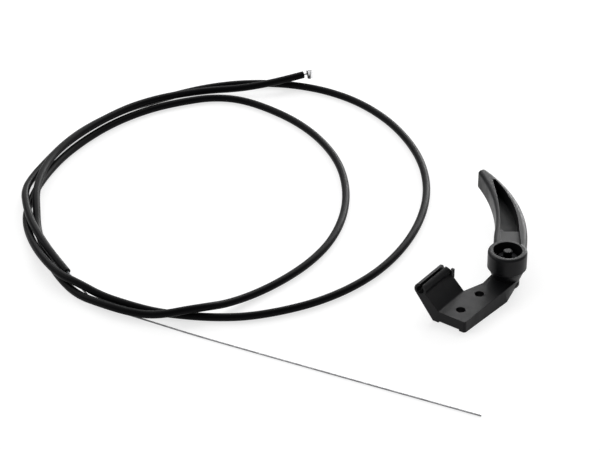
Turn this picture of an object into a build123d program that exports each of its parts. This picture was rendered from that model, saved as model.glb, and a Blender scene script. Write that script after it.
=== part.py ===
from build123d import *
import math
import os

# Hood release cable with its pull lever, lying loose on a flat surface.
# The moulded bracket screws down on its underside. A curved lever turns on an upright steel pin and
# pulls the wire of a long sheathed cable, which lies beside the bracket in loose coils.
# Units are millimetres. The origin is midway between the two screw holes, on the mounting plane.
# X runs along the bracket from its casing clip to its pivot, and Z points up.

# Cuts run past the faces that they open, and joined solids run into each other, by this much
overlap = 1.0

# Bracket base: a ribbed tray, open underneath
hole_spacing = 23.0
screw_hole_diameter = 6.5
screw_boss_diameter = 12.0
base_height = 8.5
base_width = 21.0
plate_thickness = 2.8
skirt_thickness = 2.2
rib_thickness = 1.8
near_overhang = 10.8
fold_setback = 3.0
neck_start = 12.5
neck_far_side = 5.2
neck_angle = 120.0
flank_distance = 25.0
flank_foot_reach = 3.3
flank_top_reach = 1.4
corner_radius = 2.0
fold_radius = 2.0
foot_height = 1.2
foot_length = 4.5

# Pivot boss and pin
pivot_distance = 41.7
pivot_offset = -2.4
boss_foot_radius = 8.2
boss_plate_radius = 9.8
boss_top_radius = 12.2
boss_height = 5.9
collar_radius = 9.0
collar_foot = 1.9
collar_height = 2.0
pin_diameter = 6.0
pin_head_diameter = 10.0
pin_head_height = 1.6
pin_head_rise = 1.2
pin_head_clearance = 0.3
pin_chamfer = 0.5
press_clearance = 0.02
turning_clearance = 0.05
running_gap = 0.2

# Stop peg on the boss, which runs in a groove under the lever
peg_diameter = 2.8
peg_circle_radius = 8.6
peg_height = 2.2
peg_angle = 150.0
stop_clearance = 0.35

# Leaning wall that carries the casing clip
wall_rise = 10.8
wall_lean = 11.4
wall_foot_reach = 4.3
wall_top_reach = 8.1
wall_top_slope = 0.7
wall_sheet = 2.8
wall_flange = 2.4
wall_rib_count = 2
pocket_drop = 4.1
tab_length = 2.6
tab_height = 7.0
tab_rise = 2.0
tab_width = 2.0

# Casing clip: a barrel with a bore for the casing and a slot for the wire
clip_radius = 4.6
clip_rise = 11.8
clip_reach = 15.0
clip_short = 2.8
clip_seat_wall = 6.0
clip_slot = 2.0
clip_slot_tilt = 10.0
clip_slant_end = 0.8
clip_clearance = 0.15

# Lever: hub, cup and curved grip. Its length runs to the grip's outer corner, before the tip is rounded.
hub_radius = 13.4
hub_height = 13.9
hub_foot_chamfer = 1.0
hub_rim_radius = 1.8
cup_radius = 9.9
cup_floor = 4.8
sleeve_radius = 5.0
sleeve_rise = 3.0
lever_length = 107.5
lever_angle = -54.0
lever_swing = 70.0
grip_depth = 13.1
grip_root_width = 22.2
grip_root_offset = 15.2
grip_root_start = 28.0
grip_hook = 24.6
grip_outer_radius = 134.0
grip_inner_radius = 146.0
grip_tip_width = 6.0
grip_root_flare = 1.0
grip_root_inset = 1.2
grip_edge_radius = 2.6
tip_radius = 2.8
tip_width_share = 0.47
tip_rounding_share = 0.93

# Open channel in the top of the grip
channel_floor = 2.8
channel_left_wall = 3.6
channel_right_wall = 5.5
channel_apex_gap = 17.5
channel_apex_offset = 1.8
channel_apex_width = 2.8
channel_outer_radius = 136.0
channel_inner_radius = 290.0
step_height = 10.4
step_wall = 1.6
step_corner_width = 3.0
step_corner_length = 4.5

# Seat for the wire's barrel end, open from below, with a slot for the wire
seat_clearance = 0.2
seat_distance = 20.8
seat_offset = 2.4
seat_slot = 2.0
seat_slot_height = 5.2

# Push-on retaining washer
washer_radius = 6.6
washer_thickness = 0.5
washer_tooth_slot = 0.9
washer_tooth_count = 6
washer_tooth_depth = 2.0

# Cable
casing_diameter = 5.5
wire_diameter = 1.2
liner_diameter = 2.2
liner_bore = 1.5
liner_length = 11.0
nipple_diameter = 5.0
nipple_length = 8.0
nipple_hole_clearance = 0.08
nipple_chamfer = 0.4
stub_length = 2.6
stub_seat = 2.5
arc_share = 0.45

# The cable is laid out square to the edge of the surface, and the bracket lies turned on it.
coil_turn = -54.0

# Route of the casing's axis, from the barrel end round two and a half loose coils to the cut end.
# Strands that lie on others are higher by one strand.
casing_route = [
    (-111, 303, 10.0), (-127, 296.5, 8.9), (-143, 291, 8.0), (-161, 290.5, 5.0), (-182, 289, 4.5),
    (-203, 281, 6.0), (-222, 271, 7.4), (-241, 258, 8.0), (-258, 240, 8.8), (-273, 222, 8.8),
    (-286, 202, 8.8), (-295, 182, 8.8), (-300, 159, 8.8), (-301.5, 137, 8.6), (-299.5, 118, 5.6),
    (-298, 103, 2.9), (-295, 88, 2.75), (-288, 64, 2.75), (-279.5, 41, 2.75), (-264.5, 17, 2.9),
    (-247, 4, 4.5), (-230, -5, 4.5), (-215, -9.5, 4.5), (-202, -12, 7.2), (-189, -10, 8.9),
    (-176, -6.5, 8.9), (-162, 3, 5.0), (-143, 18, 2.75), (-123, 36, 2.75), (-105, 58, 2.75),
    (-91, 84, 2.75), (-82, 117, 2.75), (-80, 152, 2.75), (-85, 187, 2.75), (-98, 219, 2.75),
    (-116, 245, 2.75), (-138, 265, 2.75), (-159, 278, 2.75), (-180, 281, 2.75), (-201, 275, 2.75),
    (-222, 266, 2.75), (-241, 253, 2.75), (-257, 238, 2.75), (-272, 219, 2.75), (-285, 198, 2.75),
    (-294, 178, 2.75), (-301, 157, 2.75), (-305, 137, 2.75), (-307, 118, 2.75), (-305, 100, 2.75),
    (-299, 77, 5.8), (-290.5, 54, 8.9), (-277.5, 33, 8.9), (-263, 22, 8.7), (-247, 12, 5.2),
    (-229, 3, 4.4), (-210, -3.5, 2.75), (-189, -8, 2.75), (-169, -10, 2.75), (-148, -9, 2.75),
    (-124, -2, 2.75), (-100, 9, 2.75), (-76, 27, 2.75), (-55, 51, 2.75), (-38, 82, 2.75),
    (-27, 115, 2.75), (-22, 149, 2.75), (-24, 184, 2.75), (-33, 217, 2.75), (-48, 248, 2.75),
    (-69, 274, 2.75), (-93, 291, 2.75), (-118, 300, 2.75), (-143, 303, 2.75), (-166, 301, 2.75),
    (-187, 295, 2.75), (-206, 286, 2.75), (-224, 276, 2.75), (-243, 265, 2.75), (-260, 249, 2.75),
    (-275, 232, 2.75), (-287, 213, 2.75), (-297, 191, 2.75), (-306.5, 166, 3.4), (-310, 141, 7.4),
    (-306.5, 118, 8.9), (-301, 97, 8.9), (-292, 75, 8.9), (-282, 54, 8.8), (-272, 38, 6.9),
]

# Route of the bare wire's axis, from the casing's cut end under the coils and out along the surface.
wire_route = [
    (-272, 38, 6.9), (-262, 22, 5.0), (-250, 9.5, 0.8), (-235, 0, 0.6), (-216, -10, 0.6),
    (-166, -36, 0.6), (1, -115, 0.6),
]

# Places worked out from the sizes above
near_end = -hole_spacing / 2 - near_overhang
fold_end = hole_spacing / 2 - fold_setback
fold_y = base_width / 2
boss_top = base_height + boss_height
hub_base = boss_top + running_gap
lever_top = hub_base + hub_height
clip_y = fold_y + clip_reach
clip_z = base_height + clip_rise
clip_bore_radius = casing_diameter / 2 + clip_clearance
pin_hole_radius = pin_diameter / 2 + press_clearance
pin_foot = pin_head_rise + pin_head_height
collar_top = collar_foot + collar_height

# The grip's tip limits its own rounding and that of the edges that run round it
tip_rounding = min(tip_radius, tip_width_share * grip_tip_width)
edge_rounding = min(grip_edge_radius, tip_rounding_share * tip_rounding)

# Round solids stand on the height that they are placed at
on_base = (Align.CENTER, Align.CENTER, Align.MIN)


def upright(radius, bottom, top, x=0.0, y=0.0):
    """A cylinder that stands at (x, y) between two heights."""
    return Pos(x, y, bottom) * Cylinder(radius, top - bottom, align=on_base)


def block(x_from, x_to, y_from, y_to, z_from, z_to):
    """A box between two corners."""
    centre = Pos((x_from + x_to) / 2, (y_from + y_to) / 2, (z_from + z_to) / 2)
    return centre * Box(x_to - x_from, y_to - y_from, z_to - z_from)


def along_sheet(outline, x_from, x_to):
    """A prism along X between two places, whose outline is drawn in (y, z)."""
    return extrude(Plane.YZ.offset(x_from) * outline, x_to - x_from)


def base_outline(flank_reach, boss_reach):
    """The base seen from above: a strip with the screw holes and a neck that runs to the pivot."""
    meeting = math.radians(neck_angle)
    meeting_x = pivot_distance + boss_plate_radius * math.cos(meeting)
    meeting_y = pivot_offset + boss_plate_radius * math.sin(meeting)
    return make_face(Polyline(
        (near_end, -base_width / 2), (flank_distance, -base_width / 2 - flank_reach),
        (pivot_distance, pivot_offset - boss_reach), (pivot_distance, pivot_offset),
        (meeting_x, meeting_y), (hole_spacing / 2 + neck_start, neck_far_side),
        (fold_end, fold_y), (near_end, fold_y), close=True))


def bracket_base():
    """The tray with its slanting flank, screw bosses and ribs."""
    foot = base_outline(flank_foot_reach, boss_foot_radius - overlap)
    top = base_outline(flank_top_reach, boss_plate_radius)
    tray = loft([foot, Pos(0, 0, base_height) * top], ruled=True)
    corner = tray.edges().sort_by_distance((near_end, -base_width / 2, base_height / 2))[0]
    tray = fillet(corner, corner_radius)
    tray -= extrude(offset(top, -skirt_thickness), base_height - plate_thickness)
    for side in (-1, 1):
        tray += upright(screw_boss_diameter / 2, 0, base_height, side * hole_spacing / 2)
    tray += block(near_end + overlap, pivot_distance - boss_foot_radius + overlap,
                  -rib_thickness / 2, rib_thickness / 2, foot_height, base_height)
    # One rib across midway between the screw holes, and one where the neck starts
    for x in (0, hole_spacing / 2 + neck_start):
        tray += block(x - rib_thickness / 2, x + rib_thickness / 2, -base_width / 2 + overlap,
                      neck_far_side - overlap, foot_height, base_height)
    return tray


def pivot_boss():
    """The boss that the lever's hub turns on: a foot collar, a flared body and the stop peg."""
    boss = upright(collar_radius, collar_foot, collar_top, pivot_distance, pivot_offset)
    flare = Cone(boss_foot_radius, boss_top_radius, boss_top - collar_top, align=on_base)
    boss += Pos(pivot_distance, pivot_offset, collar_top) * flare
    angle = math.radians(peg_angle)
    peg_x = pivot_distance + peg_circle_radius * math.cos(angle)
    peg_y = pivot_offset + peg_circle_radius * math.sin(angle)
    return boss + upright(peg_diameter / 2, boss_top, boss_top + peg_height, peg_x, peg_y)


def clip_wall():
    """The wall that leans away from the base: a sheet with end flanges and ribs outside."""
    top_y, top_z = fold_y + wall_lean, base_height + wall_rise
    outer_top = (top_y + wall_top_reach, top_z - wall_top_slope)
    profile = make_face(Polyline(
        (fold_y - overlap, 0), (fold_y + wall_foot_reach, 0), outer_top, (top_y, top_z),
        (fold_y, base_height), (fold_y - overlap, base_height), close=True))
    fold = profile.vertices().sort_by_distance((fold_y, base_height))[0]
    wall = along_sheet(fillet(fold, fold_radius), near_end, fold_end)
    slope = wall_rise / wall_lean
    drop = wall_sheet * math.hypot(1, slope)
    pocket_top = clip_z - pocket_drop
    pocket_y = fold_y + (pocket_top + drop - base_height) / slope
    outside = clip_y + 2 * clip_radius
    bays = wall_rib_count + 1
    pitch = (fold_end - near_end - 2 * wall_flange + rib_thickness) / bays
    for bay in range(bays):
        start = near_end + wall_flange + bay * pitch
        pocket = make_face(Polyline(
            (fold_y, -overlap), (fold_y, base_height - drop), (pocket_y, pocket_top),
            (outside, pocket_top), (outside, -overlap), close=True))
        wall -= along_sheet(pocket, start, start + pitch - rib_thickness)
    tab_y = top_y - tab_width
    wall += block(fold_end - overlap, fold_end + tab_length, tab_y, tab_y + tab_width,
                  top_z + tab_rise - tab_height, top_z + tab_rise)
    return wall


def along_x(radius, x_from, x_to):
    """A cylinder on the casing clip's axis between two places along X."""
    rod = Cylinder(radius, x_to - x_from, align=on_base)
    return Pos(x_from, clip_y, clip_z) * Rotation(0, 90, 0) * rod


def make_bracket():
    body = bracket_base() + pivot_boss() + clip_wall() + along_x(clip_radius, near_end, fold_end)
    # The barrel's top slants down at its pivot end
    clip_top = clip_z + clip_radius
    slant = make_face(Polyline(
        (fold_end - clip_short, clip_top), (fold_end + overlap, clip_z - clip_slant_end),
        (fold_end + overlap, clip_top + overlap), (fold_end - clip_short, clip_top + overlap), close=True))
    reach = clip_radius + overlap
    body -= extrude(Plane.XZ.offset(-clip_y - reach) * slant, 2 * reach)
    # Bore for the casing, small hole and slot for the wire
    body -= along_x(clip_bore_radius, near_end - overlap, fold_end - clip_seat_wall)
    body -= along_x(clip_slot / 2, near_end - overlap, fold_end + tab_length + overlap)
    slot = block(near_end - overlap, fold_end + overlap, -clip_slot / 2, clip_slot / 2, 0, 2 * clip_radius)
    body -= Pos(0, clip_y, clip_z) * Rotation(clip_slot_tilt, 0, 0) * slot
    # Screw holes and the pin's hole
    for side in (-1, 1):
        body -= upright(screw_hole_diameter / 2, -overlap, base_height + overlap, side * hole_spacing / 2)
    body -= upright(pin_hole_radius, -overlap, boss_top + overlap, pivot_distance, pivot_offset)
    head_recess = pin_head_diameter / 2 + pin_head_clearance
    body -= upright(head_recess, -overlap, pin_foot, pivot_distance, pivot_offset)
    # The edge at the clip's end stands on two small feet
    body -= block(near_end - overlap, near_end + skirt_thickness, -base_width / 2 + foot_length,
                  fold_y + wall_foot_reach - foot_length, -overlap, foot_height)
    return body


def grip_outline():
    """The curved grip from above. It points along Y, and its outer side is at positive X."""
    root_right = (grip_root_offset, grip_root_start)
    root_left = (grip_root_offset - grip_root_width, grip_root_start)
    outer = RadiusArc(root_right, (grip_root_offset - grip_hook, lever_length), -grip_outer_radius)
    tip = Line(outer @ 1, outer @ 1 + (outer % 1).rotate(Axis.Z, 90) * grip_tip_width)
    inner = RadiusArc(tip @ 1, root_left, grip_inner_radius)
    left = TangentArc(root_left, (root_left[0] - grip_root_flare, 0), tangent=inner % 1)
    right = TangentArc(root_right, (hub_radius - grip_root_inset, 0), tangent=-(outer % 0))
    outline = make_face(Wire([outer, tip, inner, left, Line(left @ 1, right @ 1), right]))
    return fillet(outline.vertices().sort_by(Axis.Y)[-2:], tip_rounding)


def channel_outline():
    """The open channel between the grip's walls, from the raised step to its pointed far end."""
    right = (grip_root_offset - channel_right_wall, grip_root_start)
    left = (grip_root_offset - grip_root_width + channel_left_wall, grip_root_start)
    apex_y = lever_length - channel_apex_gap
    apex_right = (-channel_apex_offset, apex_y)
    apex_left = (-channel_apex_offset - channel_apex_width, apex_y)
    apex = (-channel_apex_offset - channel_apex_width / 2, apex_y + channel_apex_width / 2)
    return make_face(Wire([
        RadiusArc(right, apex_right, -channel_outer_radius), ThreePointArc(apex_right, apex, apex_left),
        RadiusArc(apex_left, left, channel_inner_radius), Line(left, right)]))


def step_outline():
    """The shallow end of the channel, between the cup and the raised step's edge."""
    right_x = grip_root_offset - channel_right_wall
    left_x = grip_root_offset - grip_root_width + channel_left_wall
    far_y = grip_root_start + overlap
    region = make_face(Polyline((left_x, 0), (right_x, 0), (right_x, far_y), (left_x, far_y), close=True))
    return region - Circle(cup_radius + step_wall)


def step_corner():
    """The part of the raised step that reaches further along the channel's left wall."""
    left_x = grip_root_offset - grip_root_width + channel_left_wall
    inner_x = left_x + step_corner_width
    near_y = grip_root_start - overlap
    far_y = grip_root_start + step_corner_length
    return make_face(Polyline(
        (left_x - overlap, near_y), (inner_x, near_y), (inner_x, grip_root_start),
        (left_x, far_y), (left_x - overlap, far_y), close=True))


def make_lever():
    """The lever in its own frame: pivot axis at the origin, grip along Y, underside at z = 0."""
    grip = extrude(grip_outline(), grip_depth)
    rim = grip.faces().sort_by(Axis.Z)[-1].edges().filter_by(lambda edge: edge.center().Y > overlap)
    grip = fillet(rim, edge_rounding)
    hub = upright(hub_radius, 0, hub_height)
    hub = chamfer(hub.edges().sort_by(Axis.Z)[0], hub_foot_chamfer)
    hub = fillet(hub.edges().sort_by(Axis.Z)[-1], hub_rim_radius)
    body = grip + hub
    channel = channel_outline()
    body -= Pos(0, 0, channel_floor) * extrude(channel - step_corner(), hub_height)
    body -= Pos(0, 0, step_height) * extrude(step_outline() + channel, hub_height)
    cup = upright(cup_radius, cup_floor, hub_height + overlap)
    body -= cup - upright(sleeve_radius, cup_floor, cup_floor + sleeve_rise)
    body -= upright(pin_diameter / 2 + turning_clearance, -overlap, hub_height + overlap)
    body -= barrel_seat()
    body -= stop_groove()
    return body


def barrel_seat():
    """Pocket for the wire's barrel end under the raised step, with the wire's slot beside it."""
    radius = nipple_diameter / 2 + seat_clearance
    seat = upright(radius, -overlap, nipple_length + seat_clearance, seat_offset, seat_distance)
    return seat + block(seat_offset - grip_root_width, seat_offset, seat_distance - seat_slot / 2,
                        seat_distance + seat_slot / 2, -overlap, seat_slot_height)


def stop_groove():
    """Arc groove under the hub that the bracket's peg runs in over the lever's swing."""
    play = math.degrees(stop_clearance / peg_circle_radius)
    rest_angle = peg_angle - lever_angle
    path = CenterArc((0, 0), peg_circle_radius, rest_angle + play, -lever_swing - 2 * play)
    outline = SlotArc(path, peg_diameter + 2 * stop_clearance)
    return Pos(0, 0, -overlap) * extrude(outline, peg_height + stop_clearance + overlap)


def make_pin():
    """Steel pin with a head under the bracket. Its plain end stands up to the rim of the cup."""
    pin = upright(pin_diameter / 2, pin_head_rise, lever_top - running_gap, pivot_distance, pivot_offset)
    pin += upright(pin_head_diameter / 2, pin_head_rise, pin_foot, pivot_distance, pivot_offset)
    return chamfer(pin.edges().sort_by(Axis.Z)[-1], pin_chamfer)


def make_washer():
    """Push-on washer with teeth that grip the pin above the lever's sleeve."""
    seat = hub_base + cup_floor + sleeve_rise + running_gap
    top = washer_thickness + overlap
    washer = upright(washer_radius, 0, washer_thickness) - upright(pin_hole_radius, -overlap, top)
    reach = pin_hole_radius + washer_tooth_depth
    tooth_slot = block(0, reach, -washer_tooth_slot / 2, washer_tooth_slot / 2, -overlap, top)
    for tooth in range(washer_tooth_count):
        washer -= Rotation(0, 0, tooth * 360 / washer_tooth_count) * tooth_slot
    return Pos(pivot_distance, pivot_offset, seat) * washer


def corner_radii(route):
    """Radius at each corner of a route: as large as its two runs allow."""
    radii = []
    for before, corner, after in zip(route, route[1:], route[2:]):
        run_in, run_out = Vector(*corner) - Vector(*before), Vector(*after) - Vector(*corner)
        half_turn = math.radians(run_in.get_angle(run_out)) / 2
        radii.append(arc_share * min(run_in.length, run_out.length) / math.tan(half_turn))
    return radii


def lay_tube(name, route, diameter):
    """A round tube along a route, turned to where the cable lies beside the bracket."""
    radii = corner_radii(route)
    path = FilletPolyline(*route, radius=radii)
    start = Plane(origin=path @ 0, z_dir=path % 0)
    tube = sweep(start * Circle(diameter / 2), path=path)
    expected = math.pi * diameter ** 2 / 4 * path.length
    print(name, "length", round(path.length), "radii", [round(r) for r in radii],
          "volume", round(tube.volume), "expected", round(expected))
    return Rotation(0, 0, coil_turn) * tube


def route_end(point, inner_point):
    """A plane on a route's end, looking outward along the route, with X as level as it can be."""
    outward = Vector(*point) - Vector(*inner_point)
    level = outward.cross(Vector(0, 0, 1))
    return Plane(origin=point, x_dir=level, z_dir=outward)


def make_liner():
    """The inner liner that sticks out of the casing's cut end round the wire."""
    end = route_end(casing_route[-1], casing_route[-2])
    ring = Circle(liner_diameter / 2) - Circle(liner_bore / 2)
    return Rotation(0, 0, coil_turn) * extrude(end * ring, liner_length)


def make_stub():
    """The short piece of wire between the casing and the barrel end."""
    end = route_end(casing_route[0], casing_route[1])
    return Rotation(0, 0, coil_turn) * extrude(end * Circle(wire_diameter / 2), stub_length + stub_seat)


def make_nipple():
    """The barrel end, crosswise on the wire, which sits in a blind hole in its side."""
    end = route_end(casing_route[0], casing_route[1])
    centre = end.offset(stub_length + nipple_diameter / 2)
    crosswise = Plane(origin=centre.origin, x_dir=centre.x_dir, z_dir=centre.y_dir)
    barrel = Cylinder(nipple_diameter / 2, nipple_length)
    barrel = crosswise * chamfer(barrel.edges().filter_by(GeomType.CIRCLE), nipple_chamfer)
    bore = Circle(wire_diameter / 2 + nipple_hole_clearance)
    barrel -= extrude(end.offset(stub_length - overlap) * bore, stub_seat + overlap)
    return Rotation(0, 0, coil_turn) * barrel


def place_lever(shape):
    return Pos(pivot_distance, pivot_offset, hub_base) * Rotation(0, 0, lever_angle) * shape


pieces = {
    "bracket": make_bracket(),
    "lever": place_lever(make_lever()),
    "pivot_pin": make_pin(),
    "retaining_washer": make_washer(),
    "casing": lay_tube("casing", casing_route, casing_diameter),
    "inner_wire": lay_tube("wire", wire_route, wire_diameter),
    "liner_end": make_liner(),
    "wire_stub": make_stub(),
    "barrel_end": make_nipple(),
}

os.makedirs("parts", exist_ok=True)
for name, piece in pieces.items():
    print(name, "valid", piece.is_valid, "solids", len(piece.solids()), "volume", round(piece.volume, 1))
    export_step(piece, f"parts/{name}.step")
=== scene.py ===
import math

import bpy
from mathutils import Matrix, Vector


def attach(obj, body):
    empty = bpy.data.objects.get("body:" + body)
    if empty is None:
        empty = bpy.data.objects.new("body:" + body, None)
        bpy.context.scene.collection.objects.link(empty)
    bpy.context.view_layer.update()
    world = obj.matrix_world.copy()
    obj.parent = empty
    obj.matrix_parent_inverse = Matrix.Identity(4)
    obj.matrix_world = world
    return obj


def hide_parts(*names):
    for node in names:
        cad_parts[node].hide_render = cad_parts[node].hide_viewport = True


# Looks of a hood release cable with its pull lever, lying loose on a white surface.
# Lengths are metres. X runs along the bracket from its casing clip to its pivot, and Z points up.

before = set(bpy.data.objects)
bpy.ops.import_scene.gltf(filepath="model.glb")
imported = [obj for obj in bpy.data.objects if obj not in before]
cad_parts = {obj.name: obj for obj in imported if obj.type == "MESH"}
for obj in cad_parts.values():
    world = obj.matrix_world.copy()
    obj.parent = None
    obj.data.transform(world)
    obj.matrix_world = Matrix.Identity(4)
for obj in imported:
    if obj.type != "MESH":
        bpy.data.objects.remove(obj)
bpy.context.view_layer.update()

# The cable is laid out square to the edge of the surface, and the bracket lies turned on it
COIL_TURN = math.radians(-54)

# Sizes of the cable
CASING_DIAMETER = 0.0055
WIRE_DIAMETER = 0.0012
OUTER_STRANDS = 6
STRAND_LAY = 0.0085
STRAND_SIDES = 6
STEPS_PER_LAY = 14
SPLINE_STEPS = 12
CASING_SIDE_STEPS = 6

# Route of the casing's axis, from the barrel end round two and a half loose coils to the cut end
CASING_ROUTE = [
    (-0.111, 0.303, 0.01), (-0.127, 0.2965, 0.0089), (-0.143, 0.291, 0.008), (-0.161, 0.2905, 0.005),
    (-0.182, 0.289, 0.0045), (-0.203, 0.281, 0.006), (-0.222, 0.271, 0.0074), (-0.241, 0.258, 0.008),
    (-0.258, 0.24, 0.0088), (-0.273, 0.222, 0.0088), (-0.286, 0.202, 0.0088), (-0.295, 0.182, 0.0088),
    (-0.3, 0.159, 0.0088), (-0.3015, 0.137, 0.0086), (-0.2995, 0.118, 0.0056), (-0.298, 0.103, 0.0029),
    (-0.295, 0.088, 0.00275), (-0.288, 0.064, 0.00275), (-0.2795, 0.041, 0.00275), (-0.2645, 0.017, 0.0029),
    (-0.247, 0.004, 0.0045), (-0.23, -0.005, 0.0045), (-0.215, -0.0095, 0.0045), (-0.202, -0.012, 0.0072),
    (-0.189, -0.01, 0.0089), (-0.176, -0.0065, 0.0089), (-0.162, 0.003, 0.005), (-0.143, 0.018, 0.00275),
    (-0.123, 0.036, 0.00275), (-0.105, 0.058, 0.00275), (-0.091, 0.084, 0.00275), (-0.082, 0.117, 0.00275),
    (-0.08, 0.152, 0.00275), (-0.085, 0.187, 0.00275), (-0.098, 0.219, 0.00275), (-0.116, 0.245, 0.00275),
    (-0.138, 0.265, 0.00275), (-0.159, 0.278, 0.00275), (-0.18, 0.281, 0.00275), (-0.201, 0.275, 0.00275),
    (-0.222, 0.266, 0.00275), (-0.241, 0.253, 0.00275), (-0.257, 0.238, 0.00275), (-0.272, 0.219, 0.00275),
    (-0.285, 0.198, 0.00275), (-0.294, 0.178, 0.00275), (-0.301, 0.157, 0.00275), (-0.305, 0.137, 0.00275),
    (-0.307, 0.118, 0.00275), (-0.305, 0.1, 0.00275), (-0.299, 0.077, 0.0058), (-0.2905, 0.054, 0.0089),
    (-0.2775, 0.033, 0.0089), (-0.263, 0.022, 0.0087), (-0.247, 0.012, 0.0052), (-0.229, 0.003, 0.0044),
    (-0.21, -0.0035, 0.00275), (-0.189, -0.008, 0.00275), (-0.169, -0.01, 0.00275), (-0.148, -0.009, 0.00275),
    (-0.124, -0.002, 0.00275), (-0.1, 0.009, 0.00275), (-0.076, 0.027, 0.00275), (-0.055, 0.051, 0.00275),
    (-0.038, 0.082, 0.00275), (-0.027, 0.115, 0.00275), (-0.022, 0.149, 0.00275), (-0.024, 0.184, 0.00275),
    (-0.033, 0.217, 0.00275), (-0.048, 0.248, 0.00275), (-0.069, 0.274, 0.00275), (-0.093, 0.291, 0.00275),
    (-0.118, 0.3, 0.00275), (-0.143, 0.303, 0.00275), (-0.166, 0.301, 0.00275), (-0.187, 0.295, 0.00275),
    (-0.206, 0.286, 0.00275), (-0.224, 0.276, 0.00275), (-0.243, 0.265, 0.00275), (-0.26, 0.249, 0.00275),
    (-0.275, 0.232, 0.00275), (-0.287, 0.213, 0.00275), (-0.297, 0.191, 0.00275), (-0.3065, 0.166, 0.0034),
    (-0.31, 0.141, 0.0074), (-0.3065, 0.118, 0.0089), (-0.301, 0.097, 0.0089), (-0.292, 0.075, 0.0089),
    (-0.282, 0.054, 0.0088), (-0.272, 0.038, 0.0069),
]

# Route of the bare wire's axis, from the casing's cut end out along the surface
WIRE_ROUTE = [
    (-0.272, 0.038, 0.0069), (-0.262, 0.022, 0.005), (-0.25, 0.0095, 0.0008), (-0.235, 0, 0.0006),
    (-0.216, -0.01, 0.0006), (-0.166, -0.036, 0.0006), (0.001, -0.115, 0.0006),
]

# Camera: the photograph's viewing angle, with its sensor as wide as the picture
CAMERA_PLACE = (-1.2216, -0.7473, 0.9967)
CAMERA_TARGET = (0.0201, 0.1549, 0.0)
CAMERA_LENS = 156.0
CAMERA_SENSOR = 36.0
CAMERA_REACH = 50

# Strength of the plastics' reflections, and how far the mouldings' edges are softened
MOULDING_GLOSS = 0.16
SHEATH_GLOSS = 0.07
MOULDING_EDGE = 0.0004

# White surface and studio light. The lamps aim at the middle of the picture.
FLOOR_SIZE = 12.0
FLOOR_GLOW = 0.70
WORLD_STRENGTH = 0.30
LAMPS = {
    "back_softbox": {"place": (1.60, 1.30, 1.75), "size": (3.2, 2.2), "power": 55},
    "right_softbox": {"place": (1.93, 0.37, 0.50), "size": (1.5, 0.55), "power": 32},
    "left_softbox": {"place": (-0.70, 1.50, 1.10), "size": (1.2, 1.0), "power": 8},
}


def laid_out(point):
    """A point of the cable's layout in the bracket's frame."""
    return Matrix.Rotation(COIL_TURN, 3, "Z") @ Vector(point)


def new_material(name):
    """A material with its node tree and its Principled shader."""
    material = bpy.data.materials.new(name)
    material.use_nodes = True
    return material, material.node_tree, material.node_tree.nodes["Principled BSDF"]


def object_noise(tree, scale, detail=2.0, stretch=(1, 1, 1)):
    """Noise in the object's own space. The scale is in features per metre."""
    place = tree.nodes.new("ShaderNodeTexCoord")
    mapping = tree.nodes.new("ShaderNodeMapping")
    mapping.inputs["Scale"].default_value = stretch
    noise = tree.nodes.new("ShaderNodeTexNoise")
    noise.inputs["Scale"].default_value = scale
    noise.inputs["Detail"].default_value = detail
    tree.links.new(place.outputs["Object"], mapping.inputs["Vector"])
    tree.links.new(mapping.outputs["Vector"], noise.inputs["Vector"])
    return noise.outputs["Fac"]


def blend_colour(tree, factor, low, high, target):
    """Colour between two tones by a factor."""
    ramp = tree.nodes.new("ShaderNodeValToRGB")
    ramp.color_ramp.elements[0].position = 0.3
    ramp.color_ramp.elements[0].color = (*low, 1)
    ramp.color_ramp.elements[1].position = 0.7
    ramp.color_ramp.elements[1].color = (*high, 1)
    tree.links.new(factor, ramp.inputs["Fac"])
    tree.links.new(ramp.outputs["Color"], target)


def blend_value(tree, factor, low, high, target):
    """Number between two limits by a factor."""
    spread = tree.nodes.new("ShaderNodeMapRange")
    spread.inputs["From Min"].default_value = 0.3
    spread.inputs["From Max"].default_value = 0.7
    spread.inputs["To Min"].default_value = low
    spread.inputs["To Max"].default_value = high
    tree.links.new(factor, spread.inputs["Value"])
    tree.links.new(spread.outputs["Result"], target)


def add_bump(tree, height, strength, distance, normal=None):
    """Bump from a height. It returns the new normal."""
    bump = tree.nodes.new("ShaderNodeBump")
    bump.inputs["Strength"].default_value = strength
    bump.inputs["Distance"].default_value = distance
    tree.links.new(height, bump.inputs["Height"])
    if normal:
        tree.links.new(normal, bump.inputs["Normal"])
    return bump.outputs["Normal"]


def moulded_plastic(name, low, high, roughness):
    """Black moulding: a fine spark-etched grain, slightly uneven gloss and softened edges."""
    material, tree, shader = new_material(name)
    blend_colour(tree, object_noise(tree, 55, 3), low, high, shader.inputs["Base Color"])
    blend_value(tree, object_noise(tree, 140, 4), *roughness, shader.inputs["Roughness"])
    edges = tree.nodes.new("ShaderNodeBevel")
    edges.samples = 6
    edges.inputs["Radius"].default_value = MOULDING_EDGE
    sink = add_bump(tree, object_noise(tree, 90, 2), 0.25, 0.0004, edges.outputs["Normal"])
    grain = add_bump(tree, object_noise(tree, 2600, 3), 0.30, 0.00006, sink)
    tree.links.new(grain, shader.inputs["Normal"])
    shader.inputs["Specular IOR Level"].default_value = MOULDING_GLOSS
    return material


def sheath_plastic():
    """The casing's extruded black sheath: smooth, a little shiny and a little wavy."""
    material, tree, shader = new_material("casing_sheath")
    blend_colour(tree, object_noise(tree, 30, 3), (0.0025, 0.0025, 0.003), (0.004, 0.004, 0.005),
                 shader.inputs["Base Color"])
    blend_value(tree, object_noise(tree, 45, 3), 0.38, 0.48, shader.inputs["Roughness"])
    wave = add_bump(tree, object_noise(tree, 160, 2), 0.15, 0.0003)
    grain = add_bump(tree, object_noise(tree, 3000, 2), 0.12, 0.00004, wave)
    tree.links.new(grain, shader.inputs["Normal"])
    shader.inputs["Specular IOR Level"].default_value = SHEATH_GLOSS
    return material


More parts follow.
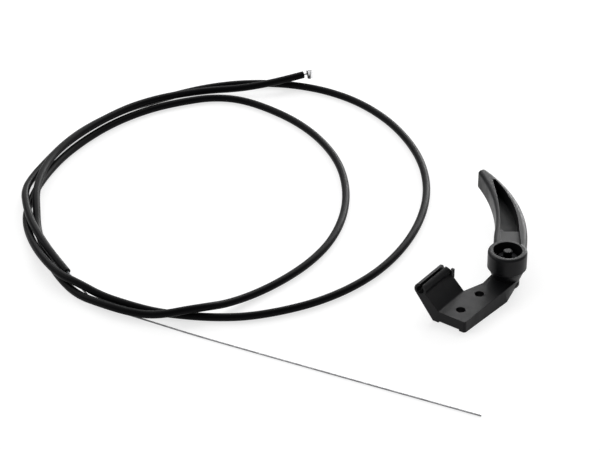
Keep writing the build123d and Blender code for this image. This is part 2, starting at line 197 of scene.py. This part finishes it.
def metal(name, low, high, roughness, grain_scale, grain_strength):
    """Plain metal with a fine grain and uneven polish."""
    material, tree, shader = new_material(name)
    shader.inputs["Metallic"].default_value = 1.0
    blend_colour(tree, object_noise(tree, 300, 3), low, high, shader.inputs["Base Color"])
    blend_value(tree, object_noise(tree, 700, 3), *roughness, shader.inputs["Roughness"])
    grain = add_bump(tree, object_noise(tree, grain_scale, 3), grain_strength, 0.00004)
    tree.links.new(grain, shader.inputs["Normal"])
    return material


def liner_plastic():
    """The inner liner: slate grey plastic, a little translucent."""
    material, tree, shader = new_material("liner_plastic")
    blend_colour(tree, object_noise(tree, 200, 2), (0.030, 0.038, 0.046), (0.060, 0.070, 0.080),
                 shader.inputs["Base Color"])
    blend_value(tree, object_noise(tree, 300, 2), 0.3, 0.45, shader.inputs["Roughness"])
    shader.inputs["Subsurface Weight"].default_value = 0.3
    shader.inputs["Subsurface Scale"].default_value = 0.001
    return material


def spline_object(name, route):
    """A curve of one open NURBS spline whose control points are the route."""
    data = bpy.data.curves.new(name, "CURVE")
    data.dimensions = "3D"
    data.resolution_u = SPLINE_STEPS
    spline = data.splines.new("NURBS")
    spline.points.add(len(route) - 1)
    for point, place in zip(spline.points, route):
        point.co = (*laid_out(place), 1)
    spline.order_u = 3
    spline.use_endpoint_u = True
    piece = bpy.data.objects.new(name, data)
    bpy.context.scene.collection.objects.link(piece)
    return piece


def spline_points(piece):
    """The points that a curve with no bevel follows."""
    mesh = bpy.data.meshes.new_from_object(piece)
    points = [vertex.co.copy() for vertex in mesh.vertices]
    bpy.data.meshes.remove(mesh)
    return points


def even_points(points, step):
    """Points at even steps along a line of points."""
    even = [points[0].copy()]
    carried = 0.0
    for start, end in zip(points, points[1:]):
        run = (end - start).length
        while carried + run >= step:
            share = (step - carried) / run
            start = start.lerp(end, share)
            run = (end - start).length
            carried = 0.0
            even.append(start.copy())
        carried += run
    even.append(points[-1].copy())
    return even


def travel_frames(points):
    """For each point its direction and two directions across it, carried along without twist."""
    frames = []
    side = (points[1] - points[0]).cross(Vector((0, 0, 1))).normalized()
    for index, point in enumerate(points):
        before = points[max(index - 1, 0)]
        after = points[min(index + 1, len(points) - 1)]
        along = (after - before).normalized()
        side = (side - along * side.dot(along)).normalized()
        frames.append((point, along, side, along.cross(side)))
    return frames


def stranded_wire(name, points, diameter):
    """A wire rope of outer strands twisted round a core strand, along a line of points."""
    # Three strands lie across the rope, so a strand's radius is a sixth of its width
    strand_radius = diameter / 6
    frames = travel_frames(even_points(points, STRAND_LAY / STEPS_PER_LAY))
    vertices, faces = [], []
    for strand in range(OUTER_STRANDS + 1):
        orbit = 2 * strand_radius if strand else 0.0
        first = len(vertices)
        for index, (point, along, side, up) in enumerate(frames):
            twist = 2 * math.pi * (index / STEPS_PER_LAY + strand / OUTER_STRANDS)
            centre = point + orbit * (math.cos(twist) * side + math.sin(twist) * up)
            for corner in range(STRAND_SIDES):
                angle = 2 * math.pi * corner / STRAND_SIDES
                vertices.append(centre + strand_radius * (math.cos(angle) * side + math.sin(angle) * up))
        for index in range(len(frames) - 1):
            ring = first + index * STRAND_SIDES
            for corner in range(STRAND_SIDES):
                beside = (corner + 1) % STRAND_SIDES
                faces.append((ring + corner, ring + beside,
                              ring + STRAND_SIDES + beside, ring + STRAND_SIDES + corner))
        last = len(vertices) - STRAND_SIDES
        faces.append(tuple(range(first + STRAND_SIDES - 1, first - 1, -1)))
        faces.append(tuple(range(last, last + STRAND_SIDES)))
    mesh = bpy.data.meshes.new(name)
    mesh.from_pydata(vertices, [], faces)
    mesh.shade_smooth()
    piece = bpy.data.objects.new(name, mesh)
    bpy.context.scene.collection.objects.link(piece)
    return piece


def dress(piece, material):
    """Gives a piece one material in place of its own."""
    piece.data.materials.clear()
    piece.data.materials.append(material)


def make_floor():
    """A plain white surface that shows as white and keeps soft shadows."""
    material, tree, shader = new_material("white_surface")
    blend_colour(tree, object_noise(tree, 4, 2), (0.40, 0.40, 0.40), (0.42, 0.42, 0.42),
                 shader.inputs["Base Color"])
    shader.inputs["Roughness"].default_value = 0.9
    shader.inputs["Specular IOR Level"].default_value = 0.0
    shader.inputs["Emission Color"].default_value = (FLOOR_GLOW, FLOOR_GLOW, FLOOR_GLOW, 1)
    rays = tree.nodes.new("ShaderNodeLightPath")
    seen = rays.outputs["Is Camera Ray"]
    for kind in ("Is Glossy Ray", "Is Transmission Ray"):
        either = tree.nodes.new("ShaderNodeMath")
        either.operation = "MAXIMUM"
        tree.links.new(seen, either.inputs[0])
        tree.links.new(rays.outputs[kind], either.inputs[1])
        seen = either.outputs["Value"]
    tree.links.new(seen, shader.inputs["Emission Strength"])
    bpy.ops.mesh.primitive_plane_add(size=FLOOR_SIZE)
    floor = bpy.context.object
    floor.name = "floor"
    dress(floor, material)


def add_lamp(name, place, size, power):
    """A rectangular softbox aimed at the middle of the picture."""
    data = bpy.data.lights.new(name, "AREA")
    data.shape = "RECTANGLE"
    data.size, data.size_y = size
    data.energy = power
    lamp = bpy.data.objects.new(name, data)
    lamp.location = place
    aim = Vector(CAMERA_TARGET) - Vector(place)
    lamp.rotation_euler = aim.to_track_quat("-Z", "Y").to_euler()
    bpy.context.scene.collection.objects.link(lamp)


def add_camera():
    """The photograph's camera, aimed at the middle of the picture."""
    data = bpy.data.cameras.new("camera")
    data.lens = CAMERA_LENS
    data.sensor_width = CAMERA_SENSOR
    data.clip_end = CAMERA_REACH
    camera = bpy.data.objects.new("camera", data)
    camera.location = CAMERA_PLACE
    aim = Vector(CAMERA_TARGET) - Vector(CAMERA_PLACE)
    camera.rotation_euler = aim.to_track_quat("-Z", "Y").to_euler()
    bpy.context.scene.collection.objects.link(camera)
    bpy.context.scene.camera = camera


def add_world():
    """Plain white surroundings."""
    world = bpy.data.worlds.new("studio")
    world.use_nodes = True
    backdrop = world.node_tree.nodes["Background"]
    backdrop.inputs["Color"].default_value = (1, 1, 1, 1)
    backdrop.inputs["Strength"].default_value = WORLD_STRENGTH
    bpy.context.scene.world = world


# Cable
sheath = sheath_plastic()
wire_steel = metal("wire_steel", (0.30, 0.30, 0.31), (0.46, 0.46, 0.47), (0.32, 0.48), 4000, 0.2)
zinc = metal("zinc", (0.66, 0.66, 0.67), (0.82, 0.82, 0.83), (0.16, 0.30), 1500, 0.15)

casing = spline_object("casing_cable", CASING_ROUTE)
casing.data.bevel_depth = CASING_DIAMETER / 2
casing.data.bevel_resolution = CASING_SIDE_STEPS
casing.data.use_fill_caps = True
dress(casing, sheath)
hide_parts("casing")
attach(casing, "base")

wire_line = spline_object("wire_line", WIRE_ROUTE)
wire_points = spline_points(wire_line)
bpy.data.objects.remove(wire_line)
wire = stranded_wire("bare_wire", wire_points, WIRE_DIAMETER)
dress(wire, wire_steel)
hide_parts("inner_wire")
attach(wire, "base")

# Mouldings, metal pieces and the liner
finishes = {
    "bracket": moulded_plastic("bracket_moulding", (0.006, 0.006, 0.007), (0.009, 0.009, 0.010),
                               (0.40, 0.52)),
    "lever": moulded_plastic("lever_moulding", (0.007, 0.007, 0.008), (0.010, 0.010, 0.011),
                             (0.36, 0.48)),
    "pivot_pin": metal("pin_steel", (0.006, 0.006, 0.0065), (0.014, 0.014, 0.015), (0.36, 0.52), 3000, 0.15),
    "retaining_washer": metal("spring_steel", (0.012, 0.012, 0.013), (0.022, 0.022, 0.024), (0.50, 0.65),
                              3000, 0.15),
    "wire_stub": wire_steel,
    "barrel_end": zinc,
    "liner_end": liner_plastic(),
}
for node, material in finishes.items():
    dress(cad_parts[node], material)

make_floor()
add_world()
for name, lamp in LAMPS.items():
    add_lamp(name, **lamp)
add_camera()
bpy.context.scene.view_settings.view_transform = "Standard"
